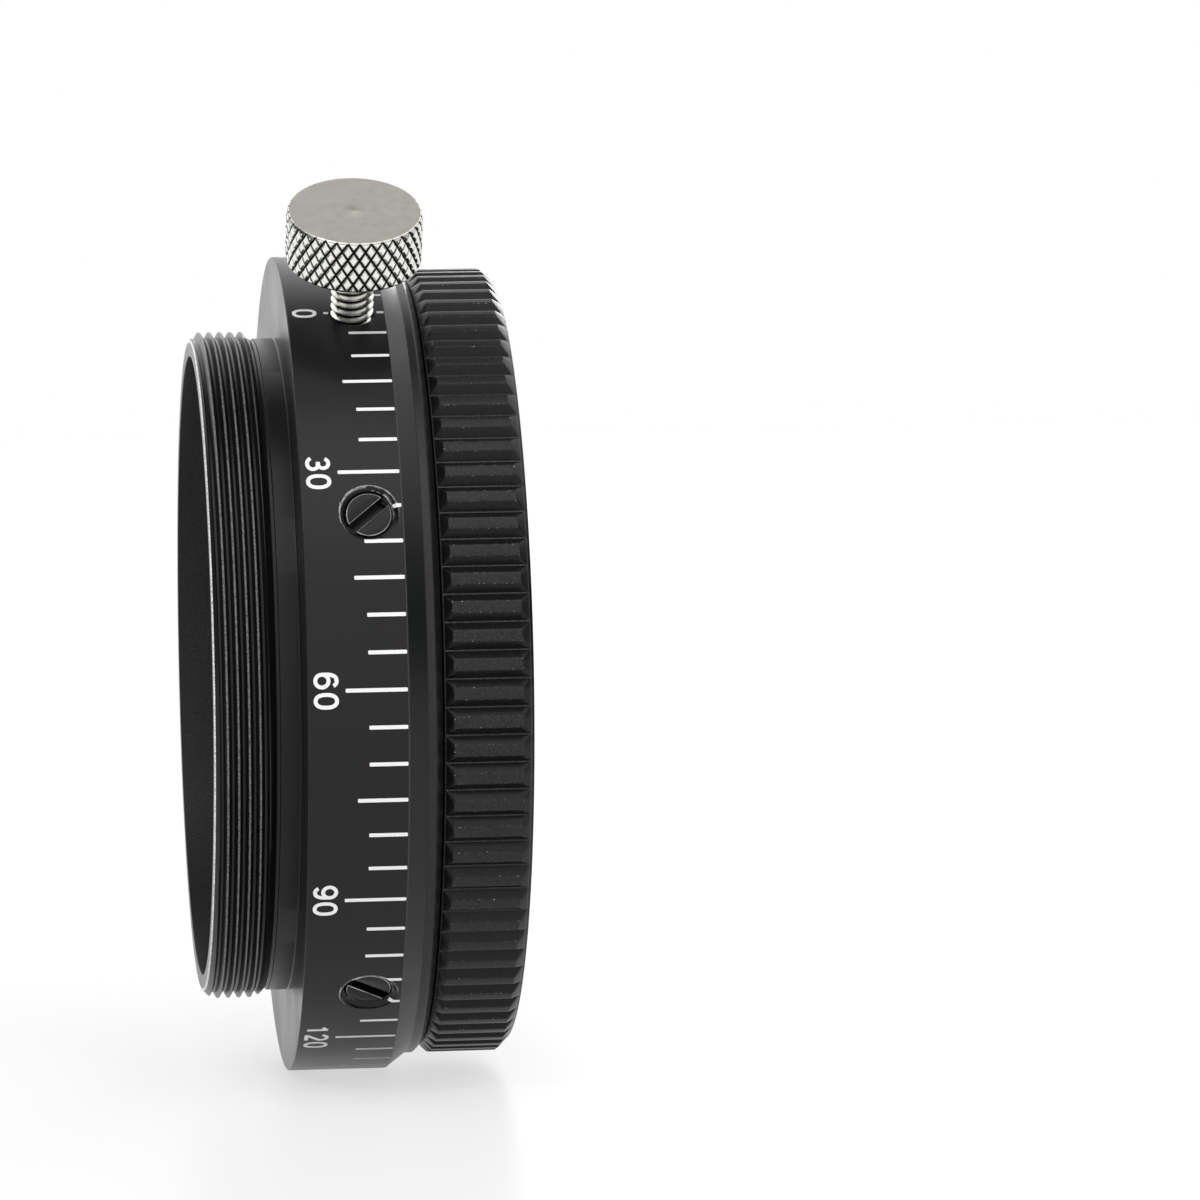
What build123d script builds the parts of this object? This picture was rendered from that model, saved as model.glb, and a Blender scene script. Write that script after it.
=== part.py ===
from build123d import *
import math
import os

os.makedirs("parts", exist_ok=True)

# Camera angle rotator for a telescope, M48 x 0.75, as eight separate solids:
#   graduated_ring   the camera side: male thread, shoulder and the drum that carries the scale
#   grip_ring        the scope side: female thread, V-grooved grip and the spigot that turns inside
#   set_screw_1..5   cone points that ride in the spigot's race and hold the two rings together
#   thumbscrew       clamps the spigot at the chosen angle
#
# Frame: the optical axis is X. The scope-side seat lies at X = 0 and faces +X, and the camera-side
# thread ends at -X. +Z is up, and the thumbscrew leans from +Z towards -Y. Units are millimetres.

# --- M48 thread, the same at both ends ---
thread_major = 48.0
thread_pitch = 0.75
thread_minor = thread_major - 1.0825 * thread_pitch

# --- radial steps from the thread's crests in to the light's way, then out to the drum ---
# They give a clear way of 44.6, a spigot of 52, a grip of 56.6 and a drum of 58.7 across.
nose_wall = 1.7
spigot_wall = 3.7
flange_rise = 2.3
drum_rise = 1.05

# --- fits between the two rings ---
turning_clearance = 0.05
end_gap = 0.1

# --- grip ring, scope side ---
grip_width = 6.2
grip_inner_chamfer = 0.65
grip_outer_chamfer = 0.8
groove_count = 90
groove_depth = 0.6
groove_angle = 90.0
socket_thread_length = 5.0
socket_relief_width = 0.7
socket_relief_depth = 0.25
race_depth = 1.2
race_angle = 90.0

# --- graduated ring, camera side ---
scale_width = 6.9
bevel_length = 1.4
land_width = 0.55
drum_end_chamfer = 0.5
web_thickness = 2.3
mouth_chamfer = 0.3
collar_step = 0.5
collar_length = 1.45
relief_depth = 0.65
relief_width = 0.6
thread_length = 3.95
thread_lead = 0.6

# --- screws, all in one plane across the axis ---
race_to_land = 4.75
zero_lean = 30.0
set_screw_count = 5
first_set_screw_angle = 36.0
set_screw_diameter = 4.0
set_screw_sink = 0.35
set_screw_chamfer = 0.45
slot_width = 0.7
slot_depth = 1.2
slot_angles = [40.0, -34.0, 75.0, -12.0, 58.0]
thumbscrew_diameter = 3.0
thumbscrew_stand_off = 4.3
thumbscrew_tip = 0.8
head_diameter = 9.5
head_height = 3.9
head_chamfer = 0.2
dimple_diameter = 0.9
tapped_clearance = 0.05
point_clearance = 0.08

# Radii and stations along X that more than one piece is built from.
thread_radius = thread_major / 2
aperture_radius = thread_radius - nose_wall
spigot_radius = aperture_radius + spigot_wall
grip_radius = spigot_radius + flange_rise
drum_radius = grip_radius + drum_rise
bore_radius = spigot_radius + turning_clearance
grip_inner_face = -grip_width
drum_end = grip_inner_face - end_gap
bevel_end = drum_end - drum_end_chamfer - land_width
scale_end = bevel_end - bevel_length
shoulder = scale_end - scale_width
web_face = shoulder + web_thickness
spigot_end = web_face + end_gap
race_plane = drum_end - race_to_land
race_floor = spigot_radius - race_depth
race_half_width = race_depth * math.tan(math.radians(race_angle / 2))
# The cone points match the race's flanks, and stand off them by point_clearance.
point_apex = race_floor + point_clearance / math.sin(math.radians(race_angle / 2))


def turned(profile):
    """A ring turned about the X axis from a closed outline of (x, radius) corners."""
    face = make_face(Polyline(profile, close=True))
    return revolve(Plane.XZ * face, axis=Axis.X)


def at_mark(mark, shape):
    """Carries a shape from the Z axis to a mark of the scale, in the plane of the screws."""
    return Pos(X=race_plane) * Rot(X=zero_lean + mark) * shape


def post(radius, low, high):
    """A cylinder along Z between two heights above the optical axis."""
    return Pos(Z=low) * Cylinder(radius, high - low, align=(Align.CENTER, Align.CENTER, Align.MIN))


def cone_point(radius, tip_radius):
    """A cone of the race's angle that ends in the race. Returns it and the height of its base."""
    slope = math.tan(math.radians(race_angle / 2))
    tip = point_apex + tip_radius / slope
    base = point_apex + radius / slope
    if tip_radius > 0:
        outline = [(0, tip), (tip_radius, tip), (radius, base), (0, base)]
    else:
        outline = [(0, tip), (radius, base), (0, base)]
    face = make_face(Polyline(outline, close=True))
    return revolve(Plane.XZ * face, axis=Axis.Z), base


def set_screw_marks():
    """The scale marks under which the set screws sit, evenly round the drum."""
    return [first_set_screw_angle + i * 360 / set_screw_count for i in range(set_screw_count)]


def make_grip_ring():
    """Scope-side ring: tapped socket, V-grooved rim, and a spigot with a V race for the points."""
    socket_end = -socket_thread_length - socket_relief_width
    relief_radius = thread_radius + socket_relief_depth
    ring = turned([
        (0, thread_minor / 2),
        (0, grip_radius - grip_outer_chamfer),
        (-grip_outer_chamfer, grip_radius),
        (grip_inner_face + grip_inner_chamfer, grip_radius),
        (grip_inner_face, grip_radius - grip_inner_chamfer),
        (grip_inner_face, spigot_radius),
        (race_plane + race_half_width, spigot_radius),
        (race_plane, race_floor),
        (race_plane - race_half_width, spigot_radius),
        (spigot_end, spigot_radius),
        (spigot_end, aperture_radius),
        (socket_end, aperture_radius),
        (socket_end, relief_radius),
        (-socket_thread_length, relief_radius),
        (-socket_thread_length, thread_minor / 2),
    ])
    return ring - groove_cutters()


def groove_cutters():
    """V prisms along X, evenly round the rim. They run out through both of its chamfers."""
    overcut = 1.0
    floor = grip_radius - groove_depth
    half_mouth = (groove_depth + overcut) * math.tan(math.radians(groove_angle / 2))
    section = make_face(Polyline([
        (0, floor),
        (half_mouth, grip_radius + overcut),
        (-half_mouth, grip_radius + overcut),
    ], close=True))
    prism = extrude(Plane.YZ * section, amount=grip_width + end_gap / 2)
    cutter = Pos(X=grip_inner_face - end_gap / 4) * prism
    return [Rot(X=i * 360 / groove_count) * cutter for i in range(groove_count)]


def make_graduated_ring():
    """Camera-side ring: male thread, relief, collar and shoulder, and a drum bored for the spigot."""
    collar_start = shoulder - collar_length
    thread_end = collar_start - relief_width - thread_length
    ring = turned([
        (thread_end, aperture_radius),
        (thread_end, thread_radius - thread_lead),
        (thread_end + thread_lead, thread_radius),
        (thread_end + thread_length, thread_radius),
        (thread_end + thread_length, thread_radius - relief_depth),
        (collar_start, thread_radius - relief_depth),
        (collar_start, thread_radius - collar_step),
        (shoulder, thread_radius - collar_step),
        (shoulder, drum_radius),
        (scale_end, drum_radius),
        (bevel_end, grip_radius),
        (bevel_end + land_width, grip_radius),
        (drum_end, grip_radius - drum_end_chamfer),
        (drum_end, bore_radius + mouth_chamfer),
        (drum_end - mouth_chamfer, bore_radius),
        (web_face, bore_radius),
        (web_face, aperture_radius),
    ])
    through = (bore_radius - race_depth, drum_radius + 1)
    set_hole = post(set_screw_diameter / 2 + tapped_clearance, *through)
    holes = [at_mark(mark, set_hole) for mark in set_screw_marks()]
    holes.append(at_mark(0, post(thumbscrew_diameter / 2 + tapped_clearance, *through)))
    return ring - holes


def make_set_screw(slot_angle):
    """Slotted set screw with a full cone point, sunk a little under the drum's surface."""
    radius = set_screw_diameter / 2
    top = drum_radius - set_screw_sink
    point, base = cone_point(radius, 0)
    shank = chamfer(post(radius, base, top).faces().sort_by(Axis.Z)[-1].edges(), set_screw_chamfer)
    slot = Pos(Z=top) * Box(set_screw_diameter, slot_width, 2 * slot_depth)
    return point + shank - Rot(Z=slot_angle) * slot


def make_thumbscrew():
    """Thumbscrew turned in one piece: blunt cone point, threaded shank and round head."""
    radius = thumbscrew_diameter / 2
    underside = drum_radius + thumbscrew_stand_off
    top = underside + head_height
    point, base = cone_point(radius, thumbscrew_tip / 2)
    head = post(head_diameter / 2, underside, top)
    rims = head.faces().sort_by(Axis.Z)[-1].edges() + head.faces().sort_by(Axis.Z)[0].edges()
    dimple = Pos(Z=top) * Sphere(dimple_diameter / 2)
    return point + post(radius, base, underside) + chamfer(rims, head_chamfer) - dimple


def save(node, shape):
    """Writes one piece to its own STEP file, named as its node."""
    shape.label = node
    export_step(shape, f"parts/{node}.step")


save("grip_ring", make_grip_ring())
save("graduated_ring", make_graduated_ring())
save("thumbscrew", at_mark(0, make_thumbscrew()))
for number, (mark, slot_angle) in enumerate(zip(set_screw_marks(), slot_angles), start=1):
    save(f"set_screw_{number}", at_mark(mark, make_set_screw(slot_angle)))
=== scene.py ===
import bmesh
import bpy
import numpy as np
from mathutils import Matrix, Vector


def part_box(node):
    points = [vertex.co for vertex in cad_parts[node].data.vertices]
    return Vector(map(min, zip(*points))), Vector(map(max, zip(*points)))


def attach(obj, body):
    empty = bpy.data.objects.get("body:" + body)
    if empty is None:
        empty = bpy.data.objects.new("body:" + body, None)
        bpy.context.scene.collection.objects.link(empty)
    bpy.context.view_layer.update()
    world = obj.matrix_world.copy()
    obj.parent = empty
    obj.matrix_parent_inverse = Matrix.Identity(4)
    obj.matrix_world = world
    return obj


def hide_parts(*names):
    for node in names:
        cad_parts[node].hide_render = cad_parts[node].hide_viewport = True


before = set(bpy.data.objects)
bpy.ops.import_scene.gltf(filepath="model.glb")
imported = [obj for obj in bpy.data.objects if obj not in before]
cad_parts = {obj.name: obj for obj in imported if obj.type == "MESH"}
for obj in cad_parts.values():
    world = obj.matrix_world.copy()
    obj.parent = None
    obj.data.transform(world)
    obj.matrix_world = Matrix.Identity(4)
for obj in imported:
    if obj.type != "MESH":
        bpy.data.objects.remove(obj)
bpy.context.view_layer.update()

# ------------------------------------------------------------------------------------------------
# Grip ring. The scope-side ring: turned from aluminium bar and tapped M48 x 0.75 inside, with 90
# V grooves milled along its rim and a V race turned in its spigot. Bead-blasted, then anodised
# black all over. It is the root body: the telescope's own thread holds it.
MM = 0.001
FULL_TURN = 2 * np.pi

thread_radius, thread_pitch = 24.0, 0.75
aperture_radius = 22.3
grip_inner_face = -6.2
grip_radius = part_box("grip_ring")[1].y / MM
spigot_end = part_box("grip_ring")[0].x / MM
spigot_radius = 26.0
race_plane, race_depth, race_half_width = -11.05, 1.2, 1.2
outer_chamfer, inner_chamfer = 0.8, 0.65
edge_break, ease_steps = 0.05, 3
rim_ease, face_ease, turned_ease = 0.07, 0.1, 0.06
groove_count, groove_floor = 90, grip_radius - 0.6
groove_bottom = groove_floor + 0.8 * edge_break
groove_pitch = FULL_TURN / groove_count
groove_offset = np.radians(0.94)
face_outer_radius, face_middle_radius = grip_radius - 1.3, grip_radius - 2.5
turned_columns = 360
turned_start = groove_offset + groove_pitch / 2.7  # the turned faces' columns start amid a land
socket_end, socket_relief_end, socket_relief_radius = -5.0, -5.7, 24.25
socket_crest_radius, socket_root_radius, socket_mouth_radius = 23.594, 24.04, 24.3


def ring_point(x, radius, angle):
    """Millimetres along the optical axis, out from it, and radians from +Z towards -Y, in metres:
    the point lies at (x, -radius sin angle, radius cos angle)."""
    x, radius, angle = np.broadcast_arrays(x, radius, angle)
    return np.stack([x, -radius * np.sin(angle), radius * np.cos(angle)], -1) * MM


def spun(profile, angles):
    """Carries a profile of (x, radius) corners round the optical axis, one row for each corner."""
    x, radius = np.array(profile, float).T
    return ring_point(x[:, None], radius[:, None], angles)


def eased(profile, reach):
    """Rounds the inner corners of a profile. Each gives way to a parabola, tangent to both of its
    sides at the given reach from the corner, or at nearly half of a side that is shorter."""
    points = np.array(profile, float)
    t = np.linspace(0, 1, ease_steps + 1)[:, None]
    rounded = [points[:1]]
    for before, corner, after in zip(points[:-2], points[1:-1], points[2:]):
        sides = np.array([before, after]) - corner
        lengths = np.hypot(*sides.T)
        start, end = corner + sides / lengths[:, None] * min(reach, 0.45 * lengths.min())
        rounded.append((1 - t) ** 2 * start + 2 * t * (1 - t) * corner + t ** 2 * end)
    return np.vstack(rounded + [points[-1:]])


def grid_faces(sheet, kept=None):
    """Four-cornered faces between the neighbouring rows and columns of a sheet of points."""
    rows, columns = sheet.shape[:2]
    corner = np.arange(rows - 1)[:, None] * columns + np.arange(columns - 1)
    faces = np.stack([corner, corner + 1, corner + columns + 1, corner + columns], -1)
    return faces.reshape(-1, 4) if kept is None else faces[kept]


def fans(fine, coarse):
    """Joins a row of points to one with fewer, whole times fewer, by fans of triangles."""
    ratio = (len(fine) - 1) // (len(coarse) - 1)
    fan, blade = np.arange(len(coarse) - 1)[:, None], np.arange(ratio)
    hub = len(fine) + fan + (blade >= ratio // 2)
    blades = np.stack([hub, ratio * fan + blade, ratio * fan + blade + 1], -1).reshape(-1, 3)
    fan = fan[:, 0]
    bridges = np.stack([ratio * fan + ratio // 2, len(fine) + fan + 1, len(fine) + fan], -1)
    return np.vstack([fine, coarse]), np.vstack([blades, bridges])


def gathered(name, sheets):
    """One mesh of many surfaces. A surface is a sheet of points, or points and their faces."""
    points, faces, first = [], [], 0
    for sheet in sheets:
        corners, corner_faces = sheet if isinstance(sheet, tuple) else (sheet, grid_faces(sheet))
        points.append(corners.reshape(-1, 3))
        faces += (corner_faces + first).tolist()
        first += len(points[-1])
    mesh = bpy.data.meshes.new(name)
    mesh.from_pydata(np.vstack(points), [], faces)
    return mesh


def placed(name, data):
    """A new object for a mesh, a lamp or a camera, at the origin."""
    thing = bpy.data.objects.new(name, data)
    bpy.context.scene.collection.objects.link(thing)
    return thing


def solid(name, sheets, crease=38):
    """Welds surfaces into one closed piece with its faces outwards. Edges that turn by more than
    the crease angle stay sharp."""
    mesh = gathered(name, sheets)
    welded = bmesh.new()
    welded.from_mesh(mesh)
    bmesh.ops.remove_doubles(welded, verts=welded.verts, dist=3e-7)
    bmesh.ops.dissolve_degenerate(welded, edges=welded.edges, dist=1e-7)
    bmesh.ops.recalc_face_normals(welded, faces=welded.faces)
    welded.to_mesh(mesh)
    welded.free()
    mesh.shade_smooth()
    mesh.set_sharp_from_angle(angle=np.radians(crease))
    piece = placed(name, mesh)
    piece.modifiers.new("even_shading", "WEIGHTED_NORMAL").keep_sharp = True
    return piece


def thread_turn(root, crest, crest_share, root_share):
    """One turn of a thread, from one crest's middle to the next: shares of the pitch, and the
    radius at each, with straight flanks between the flat crest and the flat root."""
    flank = np.linspace(0, 1, 4)
    share = crest_share / 2 + flank * (1 - root_share - crest_share) / 2
    return np.append(share, 1 - share[::-1]), crest + np.append(flank, flank[::-1]) * (root - crest)


def screw_thread(turn, pitch, low, high, turning, origin=0.0):
    """Heights and radii of a thread: the turn's profile climbs by one pitch in each full turn,
    height = origin + pitch (profile + turning), and what would pass the two ends is drawn in to
    them, with the radius that the thread has there."""
    share, level = turn
    first = int(np.floor((np.min(low) - origin) / pitch - np.max(turning))) - 1
    last = int(np.ceil((np.max(high) - origin) / pitch - np.min(turning))) + 1
    climb = (np.arange(first, last)[:, None] + share).reshape(-1, 1)
    height = np.clip(origin + pitch * (climb + turning), low, high)
    place = np.mod((height - origin) / pitch - turning, 1.0)
    return height, np.interp(place, share, level, period=1.0)


def flank_angle(radius):
    """How far round from a groove's middle its flank lies: a 90 degree V that stands on the
    groove's floor has its flank at the angle acos(floor / (radius root 2)) - 45 degrees."""
    return np.arccos(groove_floor / (radius * np.sqrt(2))) - np.pi / 4


def grip_rim(x, cap):
    """The grooved rim, one row for each x, cut off at the radius cap. Eight columns make a groove
    and its land: the land's edge, the lip and the bottom on either side, and two on the land."""
    x, cap = np.array(x)[:, None], np.array(cap)[:, None]
    lip = np.maximum(cap - edge_break, np.minimum(cap, groove_bottom))
    at_bottom = flank_angle(groove_bottom) + 0 * cap
    at_lip = flank_angle(np.maximum(lip, groove_bottom))
    at_land = flank_angle(np.maximum(cap, groove_bottom)) + edge_break / grip_radius
    step = (groove_pitch - 2 * at_land) / 3
    angle = np.hstack([-at_land, -at_lip, -at_bottom, at_bottom, at_lip, at_land,
                       at_land + step, at_land + 2 * step])
    low = np.minimum(groove_bottom, cap)
    radius = np.hstack([cap, lip, low, low, lip, cap, cap, cap])
    turned = np.arange(groove_count)[:, None] * FULL_TURN / groove_count + groove_offset
    angle = (turned + angle[:, None, :]).reshape(len(x), -1)
    radius = np.tile(radius, groove_count)
    angle = np.hstack([angle, angle[:, :1] + FULL_TURN])
    return ring_point(x, np.hstack([radius, radius[:, :1]]), angle)


def make_grip_ring():
    """Rim, outer face, tapped socket, light's way, spigot with its race, and inner face."""
    angles = np.linspace(0, FULL_TURN, turned_columns + 1) + turned_start
    cap = eased([
        (grip_inner_face, grip_radius - inner_chamfer),
        (grip_inner_face + inner_chamfer, grip_radius),
        (-outer_chamfer, grip_radius),
        (0, grip_radius - outer_chamfer),
    ], rim_ease)
    below = groove_bottom - grip_radius
    cap = np.insert(cap, -1, (-outer_chamfer - below, groove_bottom), axis=0)
    cap = np.insert(cap, 1, (grip_inner_face + inner_chamfer + below, groove_bottom), axis=0)
    rim = grip_rim(*cap.T)
    outer = spun(eased([
        (0, face_outer_radius),
        (0, face_middle_radius),
        (0, socket_mouth_radius),
    ], face_ease), angles)
    turn = thread_turn(socket_root_radius, socket_crest_radius, crest_share=0.25, root_share=0.125)
    x, radius = screw_thread(turn, thread_pitch, socket_end, 0, angles / FULL_TURN)
    radius = np.maximum(radius, socket_mouth_radius + x)
    socket = ring_point(x, radius, angles)
    relief = np.stack([socket[0], spun([(socket_end, socket_relief_radius)], angles)[0]])
    inside = spun(eased([
        (socket_end, socket_relief_radius),
        (socket_relief_end, socket_relief_radius),
        (socket_relief_end, aperture_radius),
        (spigot_end, aperture_radius),
        (spigot_end, spigot_radius),
        (race_plane - race_half_width, spigot_radius),
        (race_plane, spigot_radius - race_depth),
        (race_plane + race_half_width, spigot_radius),
        (grip_inner_face, spigot_radius),
        (grip_inner_face, face_outer_radius),
    ], turned_ease), angles)
    return solid("grip_ring_body", [
        rim, fans(rim[-1], outer[0]), outer, socket, relief, inside, fans(rim[0], inside[-1]),
    ])


def wire(node, inputs):
    """Sets a node's inputs by name, or links them where the value is another node's output."""
    for name, value in inputs.items():
        if isinstance(value, bpy.types.NodeSocket):
            node.id_data.links.new(value, node.inputs[name])
        else:
            node.inputs[name].default_value = value


def adder(tree):
    """A way to add a node to a tree, with its fields set and its inputs wired."""
    def add(kind, inputs=(), **fields):
        node = tree.nodes.new("ShaderNode" + kind)
        for field, value in fields.items():
            setattr(node, field, value)
        wire(node, dict(inputs))
        return node
    return add


def material(name):
    """A new node material, its main shader, and the way to add nodes to it."""
    made = bpy.data.materials.new(name)
    made.use_nodes = True
    return made, made.node_tree.nodes["Principled BSDF"], adder(made.node_tree)


def lathe_place(add):
    """Object coordinates as a turner has them: the place along the optical axis and the radius."""
    place = add("TexCoord").outputs["Object"]
    part = add("SeparateXYZ", {"Vector": place})
    flat = add("CombineXYZ", {"Y": part.outputs["Y"], "Z": part.outputs["Z"]})
    out = add("VectorMath", {0: flat.outputs["Vector"]}, operation="LENGTH")
    return place, part.outputs["X"], out.outputs["Value"]


def noise(add, place, scale, detail):
    """The height of a noise over places."""
    return add("TexNoise", {"Vector": place, "Scale": scale, "Detail": detail}).outputs["Fac"]


def reckon(add, operation, first, second):
    """What a sum, a product or the like of two values gives."""
    return add("Math", {0: first, 1: second}, operation=operation).outputs["Value"]


def ramp(add, value, low, high, start=0.0, end=1.0):
    """From start, where a value is low, straight to end, where it is high, and level past both."""
    return add("MapRange", {
        "Value": value, "From Min": low, "From Max": high, "To Min": start, "To Max": end,
    }).outputs["Result"]


def blend(add, share, first, second):
    """The first colour, giving way to the second by a share."""
    return add("MixRGB", {"Fac": share, "Color1": first, "Color2": second}).outputs["Color"]


def band(add, value, low, high, soft):
    """One between two limits in millimetres, and falling to nothing over a soft edge outside."""
    rise = ramp(add, value, (low - soft) * MM, low * MM)
    fall = ramp(add, value, (high + soft) * MM, high * MM)
    return reckon(add, "MULTIPLY", rise, fall)


def worn_corners(add):
    """The mesh's own mark of where it is worn, and of where a highlight is painted on it."""
    return add("Attribute", attribute_name="worn").outputs["Fac"]


def anodised_black(name, depth, grain, roughness, shade, specular, rubbed_and_painted_light_zones):
    """Dyed anodising on blasted aluminium: near black in its shade, a soft sheen, pits of the given
    depth and grain, and clouds in its tone and gloss. Faint tool rings follow X and the radius. A
    zone is its limits along X, its limits in radius, the softness of its edges, a lighter tone,
    and the two levels of the pits between which that tone's flecks grow from nothing to full.
    Some zones are a worn, lighter tone. The others are painted light: painted highlights, and a
    painted lift of the shade in grooves. Chips of bare metal show where the mesh is marked as
    worn; on the set screws' hole mouths they are a painted highlight as well."""
    made, shader, add = material(name)
    place, x, radius = lathe_place(add)
    blast = noise(add, place, grain, 3.0)
    cloud = noise(add, place, 160.0, 2.0)
    lathe = add("CombineXYZ", {"X": x, "Y": radius}).outputs["Vector"]
    rings = noise(add, lathe, 5000.0, 1.0)
    deep = (0.8 * shade, 0.93 * shade, 0.95 * shade, 1)
    faded = (1.2 * shade, 1.27 * shade, 1.3 * shade, 1)
    # Bare metal where the mesh is marked worn: chips, and on the hole mouths a painted highlight.
    chips_and_highlights = reckon(add, "MULTIPLY", worn_corners(add), ramp(add, blast, 0.35, 0.72, 0.25, 1.0))
    tone = blend(add, chips_and_highlights, blend(add, cloud, deep, faded), bare_metal)
    # Each zone blends in its lighter tone: worn tone, painted highlight, or painted lift of shade,
    # as the zone lists say.
    for along, out, soft, light, flecks in rubbed_and_painted_light_zones:
        zone = reckon(add, "MULTIPLY", band(add, x, *along, soft), band(add, radius, *out, soft))
        amount = reckon(add, "MULTIPLY", zone, ramp(add, blast, *flecks))
        tone = blend(add, amount, tone, (light, light, light, 1))
    gloss = ramp(add, cloud, 0.3, 0.7, roughness - 0.03, roughness + 0.04)
    tooled = add("Bump", {"Height": rings, "Strength": 0.12, "Distance": 4e-6})
    blasted = add("Bump", {
        "Height": blast, "Strength": depth, "Distance": 1.2e-5, "Normal": tooled.outputs["Normal"]})
    wire(shader, {
        "Base Color": tone, "Roughness": gloss, "Normal": blasted.outputs["Normal"],
        "IOR": 1.45, "Specular IOR Level": specular})
    return made


grip_ring = make_grip_ring()
bare_metal = (0.8, 0.8, 0.78, 1)
even_flecks, sparse_flecks = (0.2, 0.75), (0.64, 0.74)
rim_span = (grip_inner_face + inner_chamfer, 0)
land_radii = (grip_radius - 0.02, grip_radius)
groove_radii = (groove_floor, groove_floor + 0.05)
arris_radii = (grip_radius - 0.045, grip_radius - 0.01)
grip_black = anodised_black(
    "black_anodised_grip", depth=0.35, grain=7000.0, roughness=0.3, shade=0.0025, specular=0.22,
    rubbed_and_painted_light_zones=[
        # Painted light: the whole grooved rim is made lighter, lifting the shade on the grooves'
        # flanks.
        (rim_span, (groove_floor, grip_radius), 0.03, 0.014, even_flecks),
        (rim_span, land_radii, 0.03, 0.03, even_flecks),
        # Painted highlight: a light line along the bottom of every groove.
        ((grip_inner_face, 0), groove_radii, 0.03, 0.06, even_flecks),
        ((grip_inner_face, 0), arris_radii, 0.008, 0.45, sparse_flecks),
    ])
grip_ring.data.materials.append(grip_black)
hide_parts("grip_ring")
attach(grip_ring, "scope_side")

# ------------------------------------------------------------------------------------------------
# Graduated ring. The camera-side ring: one turning with a male M48 x 0.75 thread, chamfered at both
# ends, a collar, the shoulder that a camera adapter seats on, and a drum that turns on the grip
# ring's spigot. Six tapped holes pierce it in one plane. Black anodised, a little smoother.
drum_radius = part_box("graduated_ring")[1].y / MM
nose_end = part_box("graduated_ring")[0].x / MM
drum_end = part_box("graduated_ring")[1].x / MM
shoulder, web_face = -15.65, -13.35
collar_start, collar_radius = -17.1, 23.5
relief_start, relief_radius = -17.35, 23.35
nose_lead_radius, thread_finish = 23.4, -17.92
nose_root_radius, nose_crest = thread_radius - 0.46, 0.04
drum_start, scale_end, bevel_end, land_end = shoulder + 1.2, -8.75, -7.35, -6.8
bore_radius, mouth_chamfer = 26.05, 0.3
zero_lean = np.radians(30)
screw_marks = [0, 36, 108, 180, 252, 324]
set_hole_mouth, set_hole_root, set_hole_crest = 2.02, 1.99, 1.63
set_pitch = 0.7
thumb_hole_mouth, thumb_hole_radius = 1.64, 1.57
side_steps = 16
side_tangents = np.tan(np.linspace(-np.pi / 4, np.pi / 4, side_steps + 1))
hole_turns = np.linspace(0, FULL_TURN, 4 * side_steps + 1)
block_reach, block_width = 2.2, 2.7
block_rings = np.array([0, 0.06, 0.4, 1.0])[:, None]
# Reach of the worn, painted highlight on the hole mouths and the threads' first turn.
mouth_wear_and_highlight_width, mouth_wear_and_highlight_depth = 0.02, 0.15
crest_wear_and_highlight_width, crest_wear_and_highlight_depth = 0.12, 0.5


def drum_angles():
    """Angles of the ring's columns: close together beside each hole, and a degree apart between
    them. Returns them, and which of the steps between them belong to a hole's block."""
    block = np.arcsin(block_width * side_tangents / drum_radius)
    centres = np.radians(np.append(screw_marks, screw_marks[0] + 360)) + zero_lean
    angles, pierced = [], []
    for centre, following in zip(centres[:-1], centres[1:]):
        gap = following - centre - 2 * block[-1]
        steps = int(np.ceil(np.degrees(gap)))
        between = centre + block[-1] + gap * np.arange(1, steps) / steps
        angles += [centre + block, between]
        pierced += [np.ones(side_steps, bool), np.zeros(steps, bool)]
    return np.append(np.concatenate(angles), angles[0][0] + FULL_TURN), np.concatenate(pierced)


def hole_point(mark, radius, turn, height):
    """A point beside a hole's own axis: its radius and turn round that axis, the turn from +X
    towards rising marks, and its height above the optical axis."""
    lean = np.radians(mark) + zero_lean
    across = radius * np.sin(turn)
    x, across, height = np.broadcast_arrays(race_plane + radius * np.cos(turn), across, height)
    y = -height * np.sin(lean) - across * np.cos(lean)
    z = height * np.cos(lean) - across * np.sin(lean)
    return np.stack([x, y, z], -1) * MM


def hole_block(mark, surface_radius, hole_radius):
    """The drum's skin from a hole's edge out to a block that the plain grid leaves free: points
    slide from the circle to the block's rim, all of them on the cylinder."""
    cos, sin = np.cos(hole_turns), np.sin(hole_turns)
    side = np.maximum(abs(cos), abs(sin))
    width = block_width * surface_radius / drum_radius
    near = (1 - block_rings) * hole_radius
    along = cos * (near + block_rings * block_reach / side)
    across = sin * (near + block_rings * width / side)
    angle = np.radians(mark) + zero_lean + np.arcsin(across / surface_radius)
    return ring_point(race_plane + along, surface_radius, angle)


def skin_height(surface_radius, hole_radius):
    """How high a cylinder stands over the optical axis along a hole's edge: the root of its radius
    squared less the edge's distance across, squared."""
    return np.sqrt(surface_radius ** 2 - (hole_radius * np.sin(hole_turns)) ** 2)


def tapped_hole(mark):
    """A set screw's hole: an M4 x 0.7 thread with a 90 degree countersink at either end, so its
    radius is the largest of the thread's and the two cones'."""
    low = skin_height(bore_radius, set_hole_root)
    high = skin_height(drum_radius, set_hole_mouth)
    profile = thread_turn(set_hole_crest, set_hole_root, crest_share=0.16, root_share=0.22)
    height, radius = screw_thread(
        profile, set_pitch, low, high, -hole_turns / FULL_TURN, drum_radius)
    radius = np.maximum(radius, set_hole_mouth - (high - height))
    radius = np.maximum(radius, set_hole_root - (height - low))
    return hole_point(mark, radius, hole_turns, height)


def plain_hole(mark):
    """The thumbscrew's hole: its edge broken by a small cone, then a straight wall."""
    step = thumb_hole_mouth - thumb_hole_radius
    mouth = skin_height(drum_radius, thumb_hole_mouth)
    height = np.stack([mouth, mouth - step, skin_height(bore_radius, thumb_hole_radius)])
    radius = np.array([thumb_hole_mouth, thumb_hole_radius, thumb_hole_radius])[:, None]
    return hole_point(mark, radius, hole_turns, height)


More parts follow.
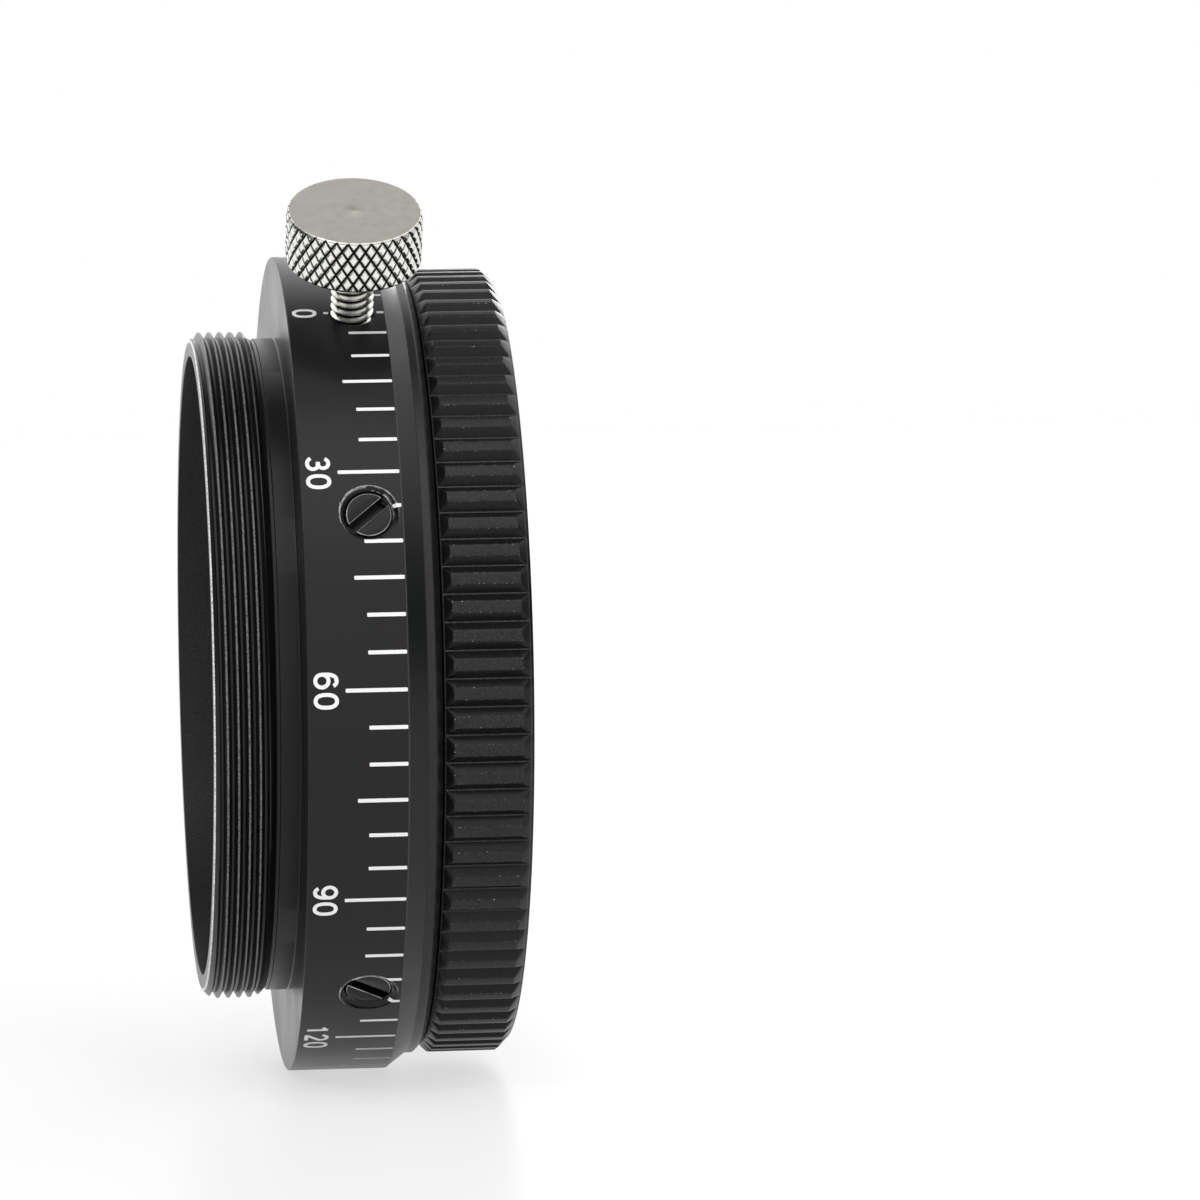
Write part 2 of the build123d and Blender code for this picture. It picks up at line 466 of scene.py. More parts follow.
def make_graduated_ring():
    """The turned skin with a free block at each hole, the nose's thread, and the six holes."""
    angles, pierced = drum_angles()
    block_x = race_plane + block_reach * side_tangents
    block_rows = [(x, drum_radius) for x in block_x]
    bore_rows = [(x, bore_radius) for x in block_x[::-1]]
    skin = np.vstack([
        eased([
            (relief_start, relief_radius),
            (collar_start, relief_radius),
            (collar_start, collar_radius),
            (shoulder, collar_radius),
            (shoulder, drum_radius),
            (drum_start, drum_radius),
        ], face_ease),
        block_rows,
        eased([
            (block_x[-1], drum_radius),
            (scale_end, drum_radius),
            (bevel_end, grip_radius),
            (land_end, grip_radius),
            (drum_end, grip_radius - (drum_end - land_end)),
            (drum_end, bore_radius + mouth_chamfer),
            (drum_end - mouth_chamfer, bore_radius),
            (block_x[-1], bore_radius),
        ], turned_ease)[1:-1],
        bore_rows,
        eased([
            (block_x[0], bore_radius),
            (web_face, bore_radius),
            (web_face, aperture_radius),
            (nose_end, aperture_radius),
            (nose_end, nose_lead_radius),
        ], turned_ease)[1:],
    ])
    outside = np.isclose(skin[:, 1], drum_radius) | np.isclose(skin[:, 1], bore_radius)
    between = (skin[:-1, 0] + skin[1:, 0]) / 2
    in_block = (abs(between - race_plane) < block_reach) & outside[:-1] & outside[1:]
    sheet = spun(skin, angles)
    kept = ~(in_block[:, None] & pierced)
    turn = thread_turn(nose_root_radius, thread_radius, crest_share=0.125, root_share=0.2)
    x, radius = screw_thread(
        turn, thread_pitch, nose_end, relief_start, angles / FULL_TURN, nose_crest)
    radius = np.minimum(radius, nose_lead_radius + x - nose_end)
    radius = np.minimum(radius, thread_radius - (x - thread_finish))
    nose = ring_point(x, radius, angles)
    run_out = np.stack([nose[-1], sheet[0]])
    sheets = [(sheet, grid_faces(sheet, kept)), nose, run_out]
    for mark in screw_marks:
        if mark == 0:
            mouth, root, wall = thumb_hole_mouth, thumb_hole_radius, plain_hole(mark)
        else:
            mouth, root, wall = set_hole_mouth, set_hole_root, tapped_hole(mark)
        sheets += [hole_block(mark, drum_radius, mouth), wall, hole_block(mark, bore_radius, root)]
    return solid("graduated_ring_body", sheets)


def outward_at(mark):
    """The direction straight out from the optical axis, at a mark."""
    return hole_point(mark, 0, 0, 1.0) / MM * (0, 1, 1)


def corner_places(piece):
    """Where a piece's mesh has its corners, in millimetres."""
    places = np.empty(3 * len(piece.data.vertices))
    piece.data.vertices.foreach_get("co", places)
    return places.reshape(-1, 3) / MM


def mark_worn(piece, share):
    """Stores how worn each corner is, and how much highlight is painted on it, for the piece's
    material.
    """
    attribute = piece.data.attributes.new("worn", "FLOAT", "POINT")
    attribute.data.foreach_set("value", share)


def wear_mouths(ring):
    """Marks the corners on the mouths of the set screws' holes, and on the first turn of their
    threads, as worn, with a painted highlight of bare metal on them. The mark grows towards the
    zero mark and the nose, the side where the highlight is painted: it is one half less the sum of
    the place across the hole and three tenths of the place along X, over the mouth's radius."""
    x, y, z = corner_places(ring).T
    worn = np.zeros(len(x))
    for mark in screw_marks[1:]:
        lean = np.radians(mark) + zero_lean
        height = z * np.cos(lean) - y * np.sin(lean)
        across = -y * np.cos(lean) - z * np.sin(lean)
        along = x - race_plane
        from_axis = np.hypot(along, across)
        sunk = drum_radius - height
        on_mouth = (abs(from_axis - set_hole_mouth) < mouth_wear_and_highlight_width) & (sunk < mouth_wear_and_highlight_depth)
        on_crest = (from_axis < set_hole_crest + crest_wear_and_highlight_width) & (sunk < crest_wear_and_highlight_depth)
        # Painted highlight: the mark is kept to the side of each mouth towards the zero mark and
        # the nose.
        facing = np.clip(0.5 - (across + 0.3 * along) / set_hole_mouth, 0, 1)
        worn = np.where(on_mouth | on_crest, facing, worn)
    mark_worn(ring, worn)


graduated_ring = make_graduated_ring()
wear_mouths(graduated_ring)
thread_span = (nose_end + 0.3, relief_start)
nose_rim = (nose_end, nose_end + 0.07)
rib_span = (bevel_end + 0.04, land_end - 0.02)
bore_span = (nose_end + 0.1, drum_end)
bore_radii = (aperture_radius - 0.1, aperture_radius + 0.02)
scale_edge = (scale_end - 0.04, scale_end + 0.04)
drum_black = anodised_black(
    "black_anodised_drum", depth=0.16, grain=9000.0, roughness=0.3, shade=0.0063, specular=0.32,
    rubbed_and_painted_light_zones=[
        # Painted highlight: a light band along the thread's crests.
        (thread_span, (thread_radius - 0.05, thread_radius), 0.02, 0.27, (0.3, 0.7)),
        # Painted highlight: a white line round the nose's front rim.
        (nose_rim, (nose_lead_radius - 0.12, nose_lead_radius + 0.15), 0.02, 1.0, (0.2, 0.6)),
        (rib_span, (grip_radius - 0.02, grip_radius), 0.02, 0.024, even_flecks),
        (bore_span, bore_radii, 0.03, 0.03, even_flecks),
        # Painted highlight: a fine light line where the scale meets the bevel.
        (scale_edge, (drum_radius - 0.05, drum_radius), 0.02, 0.06, even_flecks),
    ])
graduated_ring.data.materials.append(drum_black)
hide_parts("graduated_ring")
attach(graduated_ring, "camera_side")

# ------------------------------------------------------------------------------------------------
# Set screws. Five slotted M4 grub screws with cone points, of blackened steel, screwed in until
# their points ride in the spigot's race and then left a little below the drum's surface.
set_screw_apex = 24.913
set_screw_top = drum_radius - 0.35
set_screw_flat, set_screw_crest, set_screw_root = 1.51, 1.97, 1.57
slot_width, slot_depth = 0.74, 1.2
slot_angles = np.radians([40, -34, 75, -12, 58])
half_side_steps, slot_mouth_steps = 24, 4
rim_reach = 0.6
rim_rings = np.array([1, 0.3, -rim_reach])[:, None]
slot_strips = np.array([1, 0.3, 0])[:, None]


def slot_point(mark, slot_angle, along, across, height):
    """A point of a set screw by its distances along and across the slot, and its height."""
    return hole_point(mark, np.hypot(along, across), np.arctan2(across, along) - slot_angle, height)


def screw_side(turn, slot_angle, low, high):
    """The threaded side between two heights, as distances along and across the slot and heights.
    Its radius is the least of the thread's, the point's and the top chamfer's. From the slot's
    floor up, the columns beside the slot are drawn on to its walls."""
    profile = thread_turn(set_screw_root, set_screw_crest, crest_share=0.125, root_share=0.25)
    height, radius = screw_thread(
        profile, set_pitch, low, high, (slot_angle - turn) / FULL_TURN, drum_radius)
    radius = np.minimum(radius, height - set_screw_apex)
    radius = np.minimum(radius, set_screw_flat + set_screw_top - height)
    along, across = radius * np.cos(turn), radius * np.sin(turn)
    at_slot = np.isclose(set_screw_flat * abs(np.sin(turn)), slot_width / 2)
    on_wall = at_slot & (height >= set_screw_top - slot_depth)
    return along, np.where(on_wall, np.sign(across) * slot_width / 2, across), height


def make_set_screw(number, mark, slot_angle):
    """The side below the slot's floor, then the two halves beside the slot, each with its side, a
    flat end that drops by edge_break in a parabola at its rim and at the slot, and a wall."""
    half, floor, rim = slot_width / 2, set_screw_top - slot_depth, set_screw_top - edge_break
    edge = np.arcsin(half / set_screw_flat)
    lobe = np.linspace(edge, np.pi - edge, half_side_steps + 1)
    gap = np.linspace(-edge, edge, slot_mouth_steps + 1)
    turn = np.concatenate([lobe, np.pi + gap[1:-1], np.pi + lobe, FULL_TURN + gap[1:]])
    share = (np.cos(edge) - np.cos(lobe)) / (2 * np.cos(edge))
    sheets = [slot_point(mark, slot_angle, *screw_side(turn, slot_angle, set_screw_apex, floor))]
    for angle in (slot_angle, slot_angle + np.pi):
        along, across, height = screw_side(lobe, angle, floor, rim)
        sheets.append(slot_point(mark, angle, along, across, height))
        wall_along = along[:, :1] * (1 - share) + along[:, -1:] * share
        wall_height = height[:, :1] * (1 - share) + height[:, -1:] * share
        sheets.append(slot_point(mark, angle, wall_along, half, wall_height))
        ring = set_screw_flat + edge_break * rim_rings + 0 * lobe
        ring[:, [0, -1]] = ring[0, 0]
        ring_across = np.maximum(ring * np.sin(lobe), half)
        ring_across[:, [0, -1]] = half
        strip = half + edge_break * slot_strips
        along = np.vstack([ring * np.cos(lobe), np.repeat(wall_along[-1:], 3, axis=0)])
        across = np.vstack([ring_across, np.minimum(strip, ring_across[-1])])
        past_flat = (np.hypot(along, across) - set_screw_flat) / edge_break
        from_rim = np.clip((past_flat + rim_reach) / (1 + rim_reach), 0, 1)
        from_slot = np.clip(1 + (half - across) / edge_break, 0, 1)
        drop = edge_break * np.maximum(from_rim, from_slot) ** 2
        sheets.append(slot_point(mark, angle, along, across, set_screw_top - drop))
    right = screw_side(gap, slot_angle, floor, floor)
    left = screw_side(np.pi - gap, slot_angle, floor, floor)
    bottom = [near[0][:, None] * (1 - share) + far[0][:, None] * share
              for near, far in zip(right, left)]
    sheets.append(slot_point(mark, slot_angle, *bottom))
    screw = solid(f"set_screw_body_{number}", sheets)
    wear_edges(screw, mark)
    return screw


def wear_edges(screw, mark):
    """Marks the corners part of the way down the end's rounded edges as worn: fully from a fifth
    to three fifths of edge_break down, and not at all on the flat or past four fifths."""
    down = (set_screw_top - corner_places(screw) @ outward_at(mark)) / edge_break
    mark_worn(screw, np.clip(2 - 5 * abs(down - 0.4), 0, 1))


def blackened_steel():
    """Chemically blackened steel: a dark, slightly glossy skin with oil-dull patches and a fine
    lathe grain. Where the driver has worn the edges, the bright steel shows."""
    made, shader, add = material("blackened_steel")
    place = add("TexCoord").outputs["Object"]
    patch = noise(add, place, 900.0, 4.0)
    grain = noise(add, place, 12000.0, 2.0)
    worn = reckon(add, "MULTIPLY", worn_corners(add), ramp(add, patch, 0.35, 0.6, 0.3, 1.0))
    dark = blend(add, patch, (0.002, 0.002, 0.002, 1), (0.006, 0.006, 0.006, 1))
    bump = add("Bump", {"Height": grain, "Strength": 0.2, "Distance": 6e-6})
    wire(shader, {
        "Base Color": blend(add, worn, dark, bare_metal), "Metallic": worn,
        "Roughness": ramp(add, patch, 0, 1, 0.15, 0.35), "Normal": bump.outputs["Normal"],
        "IOR": 1.45, "Specular IOR Level": 0.32})
    return made


screw_steel = blackened_steel()
for number, (mark, slot_angle) in enumerate(zip(screw_marks[1:], slot_angles), start=1):
    set_screw = make_set_screw(number, mark, slot_angle)
    set_screw.data.materials.append(screw_steel)
    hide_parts(f"set_screw_{number}")
    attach(set_screw, "camera_side")

# ------------------------------------------------------------------------------------------------
# Thumbscrew. Turned in one piece from stainless bar: a threaded M3 shank with a blunt cone point,
# and a diamond-knurled head with a faced top that keeps the lathe centre's dimple. Its point goes
# into the spigot's race and clamps the two rings together.
thumb_tip, thumb_tip_radius = 25.313, 0.4
thumb_crest, thumb_root, thumb_pitch = 1.49, 1.17, 0.58
head_radius, head_underside, head_top = 4.75, 33.65, 37.55
head_height, head_chamfer = head_top - head_underside, 0.2
knurl_count, knurl_depth, knurl_flat, knurl_crown = 36, 0.17, 0.36, 0.04
knurl_lean = np.radians(33)
knurl_steps = 8
knurl_turns = np.linspace(0, FULL_TURN, knurl_count * knurl_steps + 1)
knurl_ends = np.array([0, 0.4, 0.8, 1.1]) * head_chamfer
shank_turns = np.linspace(0, FULL_TURN, 96 + 1)
seat_radius, seat_outer_radius, underside_radius = 1.65, 1.9, 4.2
top_radii = np.array([4.3, 3.0, 1.2, 0.35, 0.3, 0.15, 0])[:, None]
top_drops = np.array([0, 0, 0, 0, 0.003, 0.011, 0.015])[:, None]
top_skin = 0.03


def knurled_side():
    """The head's side. Two crossed families of V grooves stand at the knurl's lean: with a and b
    the turns counted across each family, the radius falls from the flat-topped diamonds by the
    lesser of a's and b's distance to the nearest groove. Returns points and triangles, which
    follow the grooves' own diagonals."""
    across = FULL_TURN * head_radius / knurl_count
    climb = across / np.tan(knurl_lean)
    rise = climb / knurl_steps
    rows = np.arange(1, int(head_height / rise) + 1) * rise
    rows = rows[np.minimum(rows, head_height - rows) > 1.2 * head_chamfer]
    rows = np.concatenate([knurl_ends, rows, head_height - knurl_ends[::-1]])[:, None]
    a = knurl_turns * head_radius / across + rows / climb
    b = knurl_turns * head_radius / across - rows / climb
    land = np.minimum(1 - abs(2 * np.mod(a, 1) - 1), 1 - abs(2 * np.mod(b, 1) - 1))
    radius = head_radius - knurl_depth * (1 - np.minimum(land / knurl_flat, 1))
    radius = radius - knurl_crown * (1 - land) ** 2
    from_end = np.minimum(rows, head_height - rows)
    radius = np.minimum(radius, head_radius - np.maximum(head_chamfer - from_end, 0))
    points = hole_point(0, radius, knurl_turns, head_underside + rows)
    first = grid_faces(points).reshape(len(rows) - 1, -1, 4)
    middle_turn = (knurl_turns[:-1] + knurl_turns[1:]) / 2 * head_radius / across
    middle_row = (rows[:-1] + rows[1:]) / 2 / climb
    rising = (np.floor(2 * middle_turn) + np.floor(2 * middle_row)) % 2 == 0
    up, down = first[rising], first[~rising]
    triangles = [up[:, [0, 1, 2]], up[:, [0, 2, 3]], down[:, [0, 1, 3]], down[:, [1, 2, 3]]]
    return points, np.vstack(triangles)


def make_thumbscrew():
    """Point and threaded shank, the head's underside, its knurled side and its faced top."""
    profile = thread_turn(thumb_root, thumb_crest, crest_share=0.125, root_share=0.2)
    height, radius = screw_thread(
        profile, thumb_pitch, thumb_tip, head_underside, -shank_turns / FULL_TURN)
    radius = np.minimum(radius, thumb_tip_radius + height - thumb_tip)
    shank = hole_point(0, radius, shank_turns, height)
    tip = hole_point(0, np.array([[0], [thumb_tip_radius]]), shank_turns, thumb_tip)
    seat = hole_point(0, seat_radius, shank_turns, head_underside)
    wide_seat = hole_point(0, seat_outer_radius, knurl_turns, head_underside)
    side, side_faces = knurled_side()
    rim = hole_point(0, underside_radius, knurl_turns, head_underside)
    top = hole_point(0, top_radii, knurl_turns, head_top - top_drops)
    return solid("thumbscrew_body", [
        tip, shank, np.stack([shank[-1], seat]), fans(wide_seat, seat),
        np.stack([wide_seat, rim, side[0]]), (side, side_faces), np.concatenate([side[-1:], top]),
    ], crease=24)


def stainless(name, low_gloss, high_gloss, rings, tone):
    """Bright stainless steel, off the tool: its roughness and tone change in small patches, and
    fine rings run round the screw's own axis, as high as rings says. The roots of the thread and of
    the knurl are painted darker, as painted shade in those hollows, but not the top."""
    made, shader, add = material(name)
    place = add("TexCoord").outputs["Object"]
    patch = noise(add, place, 1500.0, 3.0)
    about = add("VectorMath", {0: place, 1: tuple(hole_point(0, 0, 0, head_top))},
                operation="SUBTRACT")
    facing = add("VectorRotate", {"Vector": about.outputs["Vector"], "Angle": -zero_lean},
                 rotation_type="X_AXIS")
    part = add("SeparateXYZ", {"Vector": facing.outputs["Vector"]})
    flat = add("CombineXYZ", {"X": part.outputs["X"], "Y": part.outputs["Y"]})
    out = add("VectorMath", {0: flat.outputs["Vector"]}, operation="LENGTH").outputs["Value"]
    ring = add("TexNoise", {"W": out, "Scale": 9000.0, "Detail": 2.0}, noise_dimensions="1D")
    bump = add("Bump", {"Height": ring.outputs["Fac"], "Strength": rings, "Distance": 5e-6})
    tone = np.array(tone)
    bright = blend(add, patch, (*(0.97 * tone), 1), (*(1.03 * tone), 1))
    # Painted shade: the thread's and the knurl's roots are darkened towards near black.
    in_thread = band(add, out, 0, thumb_root + 0.02, 0.1)
    knurl_root = head_radius - knurl_depth
    in_knurl = band(add, out, knurl_root - 0.1, knurl_root + 0.03, 0.09)
    below_top = band(add, part.outputs["Z"], thumb_tip - head_top, -0.08, 0.02)
    painted_root_shade = reckon(add, "MULTIPLY", reckon(add, "MAXIMUM", in_thread, in_knurl), below_top)
    wire(shader, {
        "Base Color": blend(add, painted_root_shade, bright, (0.012, 0.012, 0.012, 1)), "Metallic": 1.0,
        "Roughness": ramp(add, patch, 0.3, 0.7, low_gloss, high_gloss),
        "Normal": bump.outputs["Normal"]})
    return made


thumbscrew = make_thumbscrew()
thumbscrew.data.materials.append(stainless(
    "stainless_knurled", low_gloss=0.14, high_gloss=0.24, rings=0.05, tone=(0.86, 0.85, 0.81)))
thumbscrew.data.materials.append(stainless(
    "stainless_faced", low_gloss=0.30, high_gloss=0.38, rings=0.4, tone=(0.80, 0.775, 0.70)))
faced = np.empty(3 * len(thumbscrew.data.polygons))
thumbscrew.data.polygons.foreach_get("center", faced)
faced = faced.reshape(-1, 3) @ outward_at(0) > (head_top - top_skin) * MM
thumbscrew.data.polygons.foreach_set("material_index", faced.astype(np.int32))
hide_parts("thumbscrew")
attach(thumbscrew, "clamp")

# ------------------------------------------------------------------------------------------------
# Scale. A mark every five degrees, longer every fifteen and every thirty, and a number at every
# thirty, all engraved round the drum and filled with white paint that is wiped off level.
mark_right, mark_stroke, mark_step = -8.83, 0.27, 0.08
short_left, middle_left, long_left = -11.47, -12.26, -13.05
mark_columns = np.array([-0.5, -0.2, 0.2, 0.5])
end_width, end_run = 0.85, 0.5
paint_rise, paint_depth = 0.008, 0.03
set_hole_clip, thumb_hole_clip = 1.70, thumb_hole_mouth + 0.02
number_left, number_height = -15.24, 1.72
number_stroke, number_advance, layer_rise = 0.27, 1.38, 0.0008
arc_step, line_steps = 9, 6


def from_hole(x, across, mark, hole):
    """How far a point stands from a hole's middle, in millimetres along and round the drum."""
    offset = (np.radians(mark - hole) + across / drum_radius + np.pi) % FULL_TURN - np.pi
    return np.hypot(x - race_plane, offset * drum_radius)


def on_drum(x, across, mark, lift=0.0):
    """Points of the paint's skin: x along the axis and millimetres round the drum from a mark.
    Over a set screw's countersink the skin follows its cone down, a little thicker there."""
    angle = np.radians(mark) + zero_lean + across / drum_radius
    radius = drum_radius + paint_rise + lift + 0 * (x + across)
    for hole in screw_marks[1:]:
        sunk = set_hole_mouth - paint_depth - from_hole(x, across, mark, hole)
        radius = radius - np.clip(sunk, 0, None)
    return ring_point(x, radius, angle)


def clear_of_holes(x, across, mark):
    """Which points of a stroke are on metal, and not over the open part of a screw's hole."""
    clear = np.ones(np.broadcast(x, across).shape, bool)
    for hole in screw_marks:
        clear &= from_hole(x, across, mark, hole) > (set_hole_clip if hole else thumb_hole_clip)
    return clear


def make_marks():
    """Every mark is a narrow sheet along X. Its share of the full width is end_width at either end,
    and rises by the distance from the end over end_run, up to one."""
    sheets = []
    for mark in range(0, 360, 5):
        left = long_left if mark % 30 == 0 else middle_left if mark % 15 == 0 else short_left
        x = np.linspace(left, mark_right, int((mark_right - left) / mark_step))[:, None]
        narrow = np.clip(end_width + np.minimum(x - left, mark_right - x) / end_run, 0, 1)
        across = mark_stroke * mark_columns * narrow
        sheet = on_drum(x, across, mark)
        clear = clear_of_holes(x, across, mark)
        kept = clear[:-1, :-1] & clear[1:, 1:] & clear[1:, :-1] & clear[:-1, 1:]
        sheets.append((sheet, grid_faces(sheet, kept)))
    return painted("scale_marks", sheets)


def painted(name, sheets):
    """One piece of many sheets of paint: gives them their depth, and turns their faces outwards."""
    mesh = gathered(name, sheets)
    tidy = bmesh.new()
    tidy.from_mesh(mesh)
    bmesh.ops.remove_doubles(tidy, verts=tidy.verts, dist=3e-7)
    loose = [v for v in tidy.verts if not v.link_faces]
    bmesh.ops.delete(tidy, geom=loose, context="VERTS")
    for face in tidy.faces:
        centre = face.calc_center_median()
        if face.normal.y * centre.y + face.normal.z * centre.z < 0:
            face.normal_flip()
    tidy.to_mesh(mesh)
    tidy.free()
    piece = placed(name, mesh)
    depth = piece.modifiers.new("paint_depth", "SOLIDIFY")
    depth.thickness, depth.offset = paint_depth * MM, -1
    return piece


def arc(x, y, wide, high, start, end, flat=1.0):
    """Points of an oval's arc from one angle to another, in degrees. The power flat, below one,
    draws an oval's cosine and sine out towards a rounded box."""
    turn = np.radians(np.linspace(start, end, int(abs(end - start) / arc_step) + 1))
    cos, sin = np.cos(turn), np.sin(turn)
    return np.stack([x + wide * np.sign(cos) * abs(cos) ** flat,
                     y + high * np.sign(sin) * abs(sin) ** flat], -1)


def line(*corners):
    """Points of a straight or bent stroke, close enough together to be wrapped round the drum."""
    corners = np.array(corners, float)
    steps = np.linspace(0, 1, line_steps + 1)[:, None]
    runs = [a + (b - a) * steps for a, b in zip(corners[:-1], corners[1:])]
    return np.vstack([runs[0]] + [run[1:] for run in runs[1:]])


def digit_strokes():
    """The ten digits, each as the cutter's paths. X reads along the number and runs from -0.3 to
    0.3, Y from the digit's foot at 0 to its head at 1."""
    oval = 0.85
    zero = [arc(0, 0.5, 0.3, 0.5, 0, 360, oval)]
    one = [line((0.07, 0), (0.07, 1)), line((0.07, 1), (0.03, 0.9), (-0.19, 0.77))]
    two = [np.vstack([arc(0, 0.72, 0.28, 0.28, 170, -30), line((0.24, 0.58), (-0.29, 0))[1:]]),
           line((-0.3, 0), (0.3, 0))]
    three = [arc(-0.01, 0.745, 0.255, 0.255, 160, -90), arc(-0.01, 0.265, 0.3, 0.265, 90, -160),
             line((-0.1, 0.51), (0, 0.51))]
    four = [line((0.1, 1), (-0.32, 0.27)), line((-0.36, 0.27), (0.34, 0.27)),
            line((0.12, 1), (0.12, 0))]
    five = [line((0.27, 1), (-0.2, 1)), line((-0.2, 1), (-0.26, 0.5)),
            arc(-0.01, 0.315, 0.3, 0.315, 145, -155)]
    six = [arc(0, 0.31, 0.3, 0.31, 0, 360), arc(0, 0.5, 0.3, 0.5, 195, 40, oval)]
    seven = [line((-0.3, 1), (0.3, 1)), line((0.3, 1), (0.02, 0.5), (-0.09, 0))]
    eight = [arc(0, 0.755, 0.25, 0.245, 0, 360), arc(0, 0.265, 0.3, 0.265, 0, 360)]
    nine = [(0, 1) - path for path in six]
    return [zero, one, two, three, four, five, six, seven, eight, nine]


def cutter_path(path, stroke):
    """A sheet as wide as the cutter along a path. Each point's sides stand square to the mean of
    its neighbours' directions, further out at a bend, by one over the cosine of half of it."""
    run = np.diff(path, axis=0)
    run /= np.hypot(*run.T)[:, None]
    closed = np.allclose(path[0], path[-1])
    before = np.vstack([run[-1:] if closed else run[:1], run])
    after = np.vstack([run, run[:1] if closed else run[-1:]])
    mean = before + after
    mean /= np.hypot(*mean.T)[:, None]
    reach = np.maximum((mean * after).sum(1), 0.5)[:, None]
    side = np.stack([-mean[:, 1], mean[:, 0]], -1) / reach
    across = stroke * np.array([-0.5, 0.0, 0.5])[:, None, None]
    return np.swapaxes(path + side * across, 0, 1)


def make_numbers():
    """The numbers stand on their sides: their heads point to +X and they read with rising marks.
    Each stroke lies a hair above the one before it, so that none flickers where they cross."""
    sheets = []
    digits = digit_strokes()
    for mark in range(0, 360, 30):
        name = str(mark)
        for place, digit in enumerate(name):
            middle = (place - (len(name) - 1) / 2) * number_advance
            for layer, path in enumerate(digits[int(digit)]):
                sheet = cutter_path(path * (number_height - number_stroke), number_stroke)
                x = number_left + number_stroke / 2 + sheet[..., 1]
                sheets.append(on_drum(x, middle + sheet[..., 0], mark, layer_rise * layer))
    return painted("scale_numbers", sheets)


def engraving_paint():
    """White filling paint: matt, very slightly uneven in tone and in height."""
    made, shader, add = material("engraving_paint")
    place = add("TexCoord").outputs["Object"]
    uneven = noise(add, place, 5000.0, 3.0)
    tone = blend(add, uneven, (0.80, 0.80, 0.79, 1), (0.93, 0.93, 0.92, 1))
    bump = add("Bump", {"Height": uneven, "Strength": 0.2, "Distance": 1e-5})
    wire(shader, {"Base Color": tone, "Normal": bump.outputs["Normal"], "Roughness": 0.55})
    return made


paint = engraving_paint()
for engraving in (make_marks(), make_numbers()):
    engraving.data.materials.append(paint)
    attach(engraving, "camera_side")

# ------------------------------------------------------------------------------------------------
# Studio: a pale floor, white surroundings that are dark overhead and on both sides and brighter
# above the camera and behind on the left, two soft lamps, and the camera.
floor_height, floor_reach, floor_white = -drum_radius, 1500.0, 0.62


def seen_directly(add):
    """One for camera, glossy and transmission rays, and nothing for light that falls on things."""
    path = add("LightPath").outputs
    glossy = reckon(add, "MAXIMUM", path["Is Camera Ray"], path["Is Glossy Ray"])
    return reckon(add, "MAXIMUM", glossy, path["Is Transmission Ray"])


def make_floor():
    """A level square under the drum. What looks at it directly or in gloss sees part of it as plain
    white, which lightens the object's shadow."""
    side = floor_reach * np.array([-1, 1])
    x, y = np.meshgrid(side, side)
    sheet = np.stack(np.broadcast_arrays(x, y, floor_height), -1) * MM
    floor = placed("floor", gathered("floor", [sheet]))
    made, shader, add = material("pale_floor")
    wire(shader, {
        "Base Color": (0.92, 0.92, 0.92, 1), "Roughness": 0.3, "Specular IOR Level": 0.12})
    white = add("Emission", {"Color": (1, 1, 1, 1), "Strength": 1.0})
    share = reckon(add, "MULTIPLY", seen_directly(add), floor_white)
    mixed = add("MixShader", {0: share, 1: shader.outputs["BSDF"], 2: white.outputs["Emission"]})
    wire(made.node_tree.nodes["Material Output"], {"Surface": mixed.outputs["Shader"]})
    floor.data.materials.append(made)
    return floor


def softbox(name, place, aim, size, power):
    """A rectangular lamp that faces the point it is aimed at. Sizes in metres, power in watts."""
    lamp = bpy.data.lights.new(name, "AREA")
    lamp.shape, lamp.size, lamp.size_y, lamp.energy = "RECTANGLE", size[0], size[1], power
    turned = (Vector(aim) - Vector(place)).to_track_quat("-Z", "Y")
    placed(name, lamp).matrix_world = Matrix.Translation(place) @ turned.to_matrix().to_4x4()


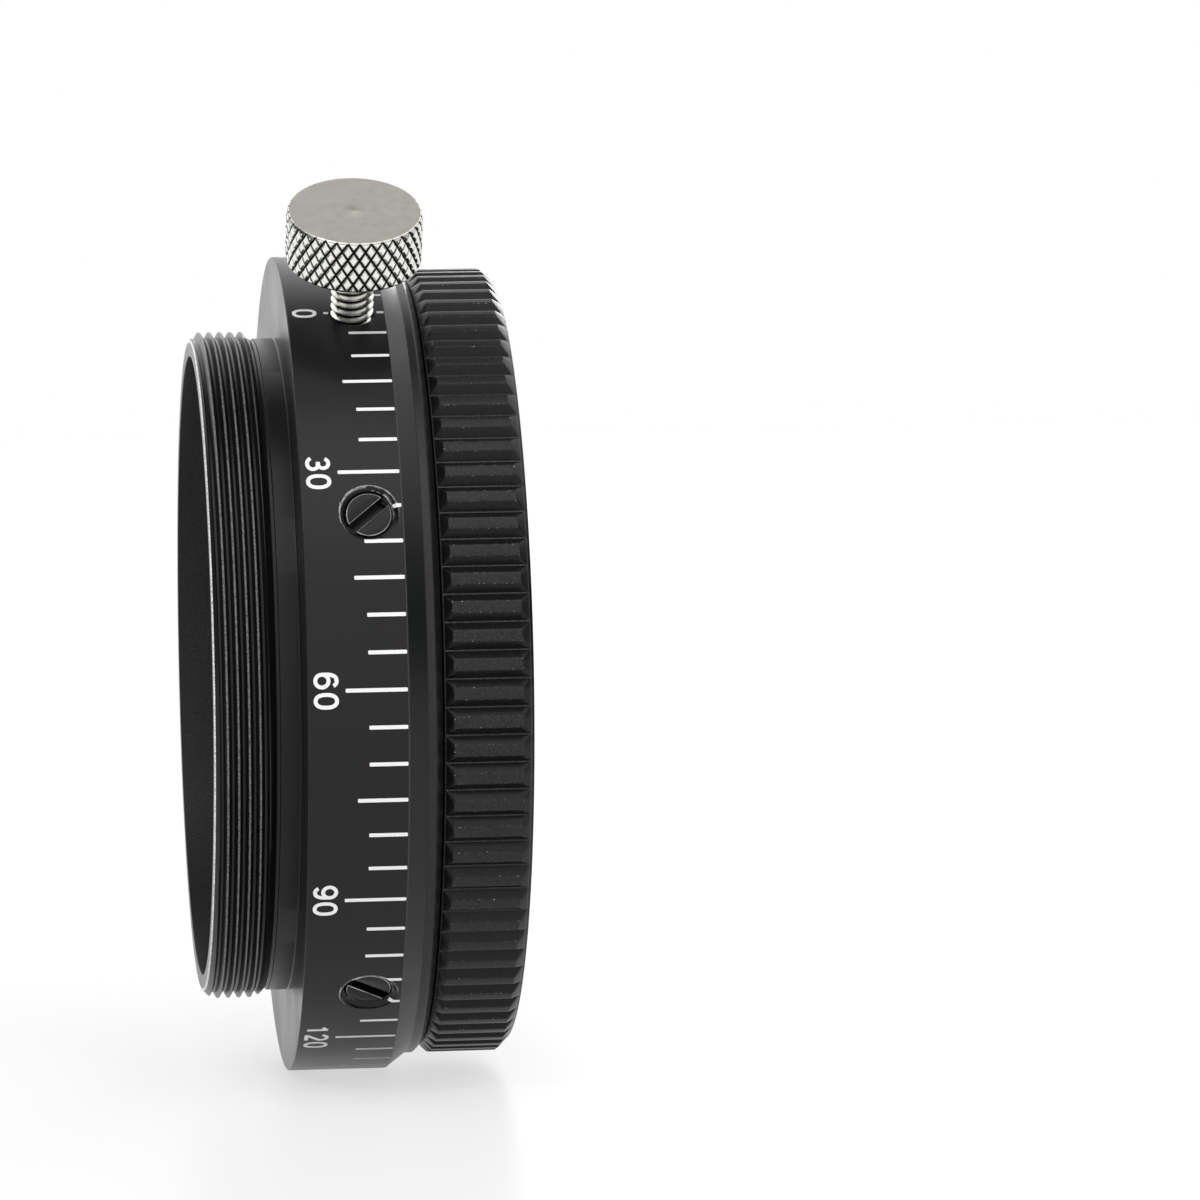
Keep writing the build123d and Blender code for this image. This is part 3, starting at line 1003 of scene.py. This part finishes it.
def surroundings():
    """The world's strength by direction: an even level, changed inside soft-edged round patches,
    each by its direction, its strength and its inner and outer half angles in degrees. The camera
    itself sees plain white."""
    world = bpy.data.worlds.new("studio")
    world.use_nodes = True
    bpy.context.scene.world = world
    add = adder(world.node_tree)
    look = add("TexCoord").outputs["Generated"]
    level = add("Value").outputs["Value"]
    level.default_value = even_level
    for direction, strength, inner, outer in patches:
        towards = Vector(direction).normalized()
        dot = add("VectorMath", {0: look, 1: towards}, operation="DOT_PRODUCT").outputs["Value"]
        edge, heart = np.cos(np.radians([outer, inner]))
        inside = add("MapRange", {"Value": dot, "From Min": edge, "From Max": heart},
                     interpolation_type="SMOOTHSTEP").outputs["Result"]
        mixed = add("Mix", {"Factor": inside, "A": level, "B": strength}, data_type="FLOAT")
        level = mixed.outputs["Result"]
    seen = add("LightPath").outputs["Is Camera Ray"]
    mixed = add("Mix", {"Factor": seen, "A": level, "B": 1.0}, data_type="FLOAT")
    wire(world.node_tree.nodes["Background"],
         {"Color": (1, 1, 1, 1), "Strength": mixed.outputs["Result"]})


even_level = 1.2
patches = [
    ((0.1, 0.16, 0.98), 0.08, 12, 34),
    ((0.1, -0.5, 0.86), 1.9, 6, 30),
    ((1.0, -0.15, -0.1), 0.03, 18, 38),
    ((0.85, 0.5, -0.05), 0.1, 10, 24),
    ((-0.98, 0.05, 0.1), 0.02, 26, 44),
    ((-0.62, 0.78, 0.0), 4.0, 4, 14),
]
make_floor()
surroundings()
softbox("left_softbox", place=(-0.5, -0.6, 0.7), aim=(-0.02, 0, 0), size=(0.15, 0.15), power=1.0)
softbox("back_softbox", place=(0.35, 1.0, 0.28), aim=(0, 0, -0.03), size=(0.5, 0.12), power=1.2)

eye = Vector((-46.24, -458.36, 30.40)) * MM
aim = Vector((7.85, 0.0, 4.11)) * MM
camera_roll = np.radians(-0.826)
lens_length = 190.81

camera = placed("camera", bpy.data.cameras.new("camera"))
camera.data.lens, camera.data.sensor_width = lens_length, 36
camera.data.clip_start = 0.01
forward = (aim - eye).normalized()
level_right = forward.cross(Vector((0, 0, 1))).normalized()
level_up = level_right.cross(forward)
right = level_right * np.cos(camera_roll) + level_up * np.sin(camera_roll)
up = level_up * np.cos(camera_roll) - level_right * np.sin(camera_roll)
camera.matrix_world = Matrix.Translation(eye) @ Matrix((right, up, -forward)).transposed().to_4x4()
bpy.context.scene.camera = camera
bpy.context.scene.view_settings.view_transform = "Standard"
